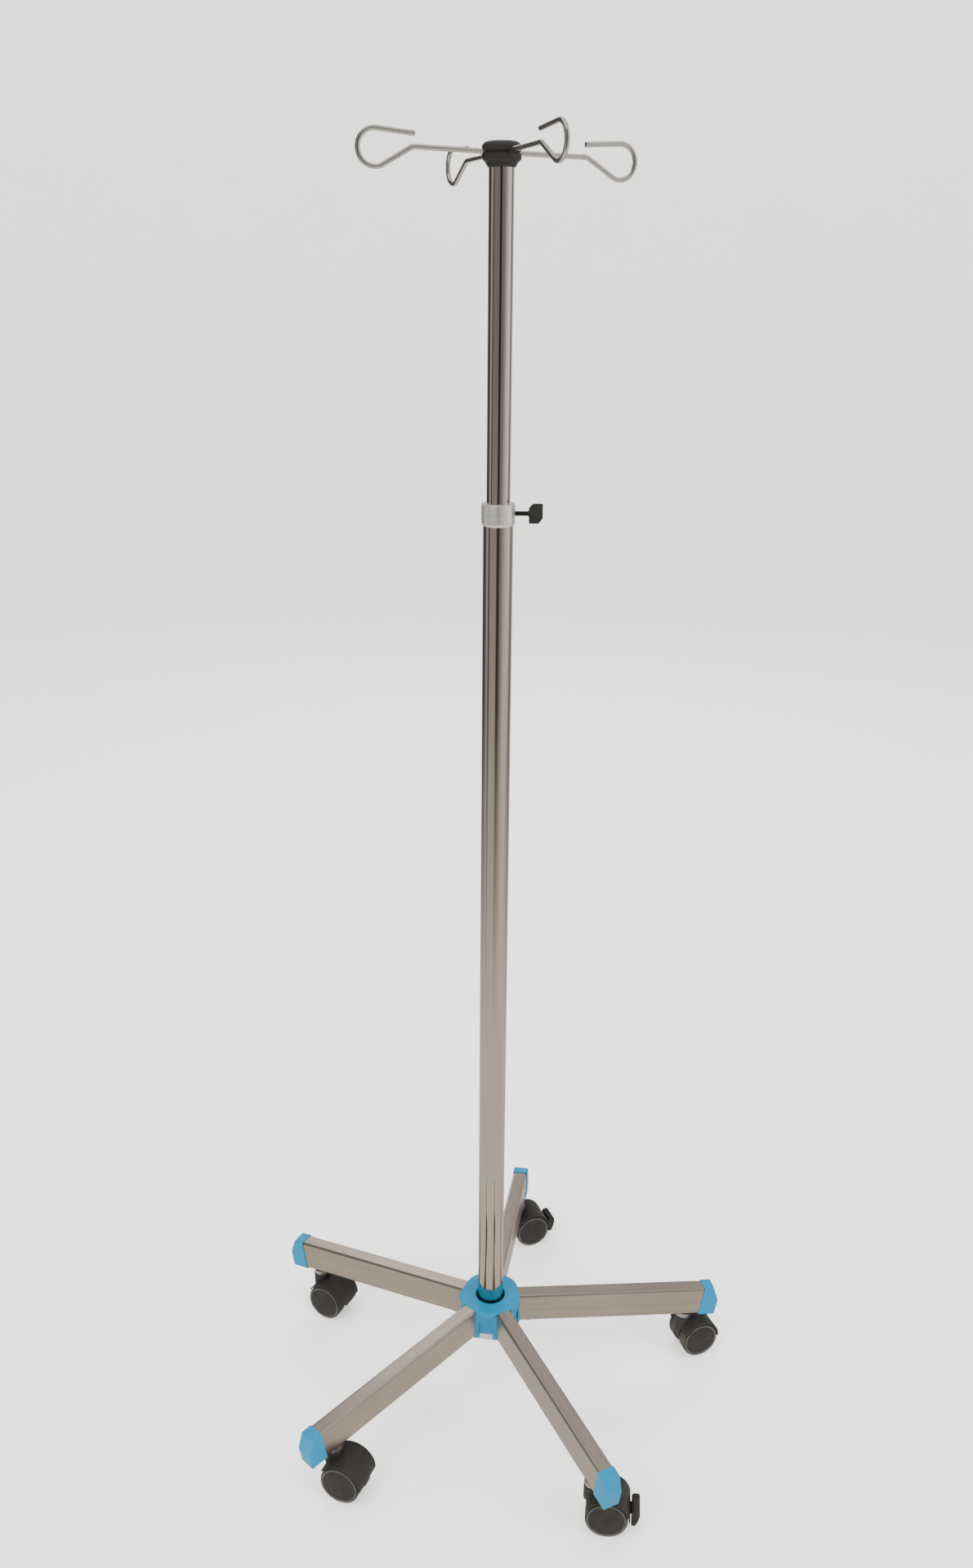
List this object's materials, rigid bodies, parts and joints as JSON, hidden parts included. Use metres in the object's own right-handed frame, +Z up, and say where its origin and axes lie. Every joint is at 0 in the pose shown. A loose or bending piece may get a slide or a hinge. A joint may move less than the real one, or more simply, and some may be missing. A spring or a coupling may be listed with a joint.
{
  "type": "wheeled infusion stand",
  "caption": "Wheeled infusion stand: sloping steel legs on twin-wheel swivel casters, a telescoping pole locked by a clamp screw, and looped wire bag hooks around a black head.",
  "frame": {"origin": "on the floor, under the pole's axis", "axes": "+Z up along the pole; +Y runs out along leg 1; +X completes the right-handed frame, 18 degrees clockwise from leg 5 as seen from above"},
  "size_m": [0.5961, 0.5629, 1.5017],
  "materials": {
    "blue_plastic": "smooth moulded sky blue",
    "grey_plastic": "plain light grey moulding",
    "leg_steel": "stainless, brushed along the leg",
    "tube_steel": "polished stainless tube",
    "hook_steel": "polished stainless wire",
    "plated_steel": "zinc plated",
    "collar_aluminium": "turned, satin",
    "black_plastic": "fine grained nylon",
    "wheel_plastic": "moulded nylon with a worn rim",
    "head_plastic": "smooth moulded black",
    "bush_plastic": "natural acetal"
  },
  "bodies": {
    "base": {"hub_shell": "blue_plastic", "hub_core": "collar_aluminium", "hub_base_plate": "grey_plastic", "hub_screws": "plated_steel", "leg_bolts": "plated_steel", "leg_1": "leg_steel", "leg_2": "leg_steel", "leg_3": "leg_steel", "leg_4": "leg_steel", "leg_5": "leg_steel", "end_cap_1": "blue_plastic", "end_cap_2": "blue_plastic", "end_cap_3": "blue_plastic", "end_cap_4": "blue_plastic", "end_cap_5": "blue_plastic", "caster_stem_1": "plated_steel", "caster_stem_2": "plated_steel", "caster_stem_3": "plated_steel", "caster_stem_4": "plated_steel", "caster_stem_5": "plated_steel", "lower_tube": "tube_steel", "clamp_collar": "collar_aluminium", "guide_bush": "bush_plastic"},
    "caster_1": {"caster_1_hood": "black_plastic", "caster_1_axle": "plated_steel"},
    "wheel_1_left": {"caster_1_wheel_left": "wheel_plastic"},
    "wheel_1_right": {"caster_1_wheel_right": "wheel_plastic"},
    "caster_2": {"caster_2_hood": "black_plastic", "caster_2_axle": "plated_steel"},
    "wheel_2_left": {"caster_2_wheel_left": "wheel_plastic"},
    "wheel_2_right": {"caster_2_wheel_right": "wheel_plastic"},
    "caster_3": {"caster_3_hood": "black_plastic", "caster_3_axle": "plated_steel"},
    "wheel_3_left": {"caster_3_wheel_left": "wheel_plastic"},
    "wheel_3_right": {"caster_3_wheel_right": "wheel_plastic"},
    "caster_4": {"caster_4_hood": "black_plastic", "caster_4_axle": "plated_steel"},
    "wheel_4_left": {"caster_4_wheel_left": "wheel_plastic"},
    "wheel_4_right": {"caster_4_wheel_right": "wheel_plastic"},
    "caster_5": {"caster_5_hood": "black_plastic", "caster_5_axle": "plated_steel"},
    "wheel_5_left": {"caster_5_wheel_left": "wheel_plastic"},
    "wheel_5_right": {"caster_5_wheel_right": "wheel_plastic"},
    "pedal_1": {"brake_pedal_1": "black_plastic"},
    "pedal_4": {"brake_pedal_4": "black_plastic"},
    "clamp_pad": {"clamp_pad": "bush_plastic"},
    "clamp_screw": {"clamp_stud": "plated_steel", "clamp_wing": "head_plastic"},
    "mast_slide": {"guide_ring": "bush_plastic"},
    "mast": {"upper_tube": "tube_steel", "stop_ring": "bush_plastic", "foot_plug": "bush_plastic", "head_body": "head_plastic", "head_cap": "head_plastic", "head_screw": "plated_steel", "hook_1": "hook_steel", "hook_2": "hook_steel", "hook_3": "hook_steel", "hook_4": "hook_steel"}
  },
  "joints": [
    {"name": "caster_1_swivel", "type": "hinge", "parent": "base", "child": "caster_1", "pos_m": [0, 0.264, 0.05], "axis": [0, 0, 1], "continuous": true},
    {"name": "wheel_1_left_spin", "type": "hinge", "parent": "caster_1", "child": "wheel_1_left", "pos_m": [0.01472, 0.2725, 0.025], "axis": [-0.5, 0.866, 0], "continuous": true},
    {"name": "wheel_1_right_spin", "type": "hinge", "parent": "caster_1", "child": "wheel_1_right", "pos_m": [0.01472, 0.2725, 0.025], "axis": [-0.5, 0.866, 0], "continuous": true},
    {"name": "caster_2_swivel", "type": "hinge", "parent": "base", "child": "caster_2", "pos_m": [-0.25108, 0.08158, 0.05], "axis": [0, 0, 1], "continuous": true},
    {"name": "wheel_2_left_spin", "type": "hinge", "parent": "caster_2", "child": "wheel_2_left", "pos_m": [-0.2351, 0.07577, 0.025], "axis": [0.342, 0.9397, 0], "continuous": true},
    {"name": "wheel_2_right_spin", "type": "hinge", "parent": "caster_2", "child": "wheel_2_right", "pos_m": [-0.2351, 0.07577, 0.025], "axis": [0.342, 0.9397, 0], "continuous": true},
    {"name": "caster_3_swivel", "type": "hinge", "parent": "base", "child": "caster_3", "pos_m": [-0.15518, -0.21358, 0.05], "axis": [0, 0, 1], "continuous": true},
    {"name": "wheel_3_left_spin", "type": "hinge", "parent": "caster_3", "child": "wheel_3_left", "pos_m": [-0.13861, -0.2174, 0.025], "axis": [0.225, 0.9744, 0], "continuous": true},
    {"name": "wheel_3_right_spin", "type": "hinge", "parent": "caster_3", "child": "wheel_3_right", "pos_m": [-0.13861, -0.2174, 0.025], "axis": [0.225, 0.9744, 0], "continuous": true},
    {"name": "caster_4_swivel", "type": "hinge", "parent": "base", "child": "caster_4", "pos_m": [0.15518, -0.21358, 0.05], "axis": [0, 0, 1], "continuous": true},
    {"name": "wheel_4_left_spin", "type": "hinge", "parent": "caster_4", "child": "wheel_4_left", "pos_m": [0.17215, -0.21269, 0.025], "axis": [-0.0523, 0.9986, 0], "continuous": true},
    {"name": "wheel_4_right_spin", "type": "hinge", "parent": "caster_4", "child": "wheel_4_right", "pos_m": [0.17215, -0.21269, 0.025], "axis": [-0.0523, 0.9986, 0], "continuous": true},
    {"name": "caster_5_swivel", "type": "hinge", "parent": "base", "child": "caster_5", "pos_m": [0.25108, 0.08158, 0.05], "axis": [0, 0, 1], "continuous": true},
    {"name": "wheel_5_left_spin", "type": "hinge", "parent": "caster_5", "child": "wheel_5_left", "pos_m": [0.2658, 0.09008, 0.025], "axis": [-0.5, 0.866, 0], "continuous": true},
    {"name": "wheel_5_right_spin", "type": "hinge", "parent": "caster_5", "child": "wheel_5_right", "pos_m": [0.2658, 0.09008, 0.025], "axis": [-0.5, 0.866, 0], "continuous": true},
    {"name": "brake_1_press", "type": "hinge", "parent": "caster_1", "child": "pedal_1", "pos_m": [0.04157, 0.288, 0.0225], "axis": [-0.5, 0.866, 0], "range_deg": [0, 25]},
    {"name": "brake_4_press", "type": "hinge", "parent": "caster_4", "child": "pedal_4", "pos_m": [0.20311, -0.21107, 0.0225], "axis": [-0.0523, 0.9986, 0], "range_deg": [0, 25]},
    {"name": "mast_height", "type": "slide", "parent": "base", "child": "mast_slide", "axis": [0, 0, 1], "range_m": [-0.3, 0.6]},
    {"name": "mast_swivel", "type": "hinge", "parent": "mast_slide", "child": "mast", "pos_m": [0, 0, 1.1], "axis": [0, 0, 1], "continuous": true},
    {"name": "clamp_feed", "type": "slide", "parent": "base", "child": "clamp_pad", "axis": [0.9888, 0.1495, 0], "range_m": [0, 0.00102]},
    {"name": "clamp_turn", "type": "hinge", "parent": "clamp_pad", "child": "clamp_screw", "pos_m": [0.01978, 0.00299, 1.1384], "axis": [0.9888, 0.1495, 0], "range_deg": [0, 450]}
  ],
  "couplings": [
    {"joint": "clamp_feed", "follows": "clamp_turn", "m_per_rad": 0.00012732}
  ]
}
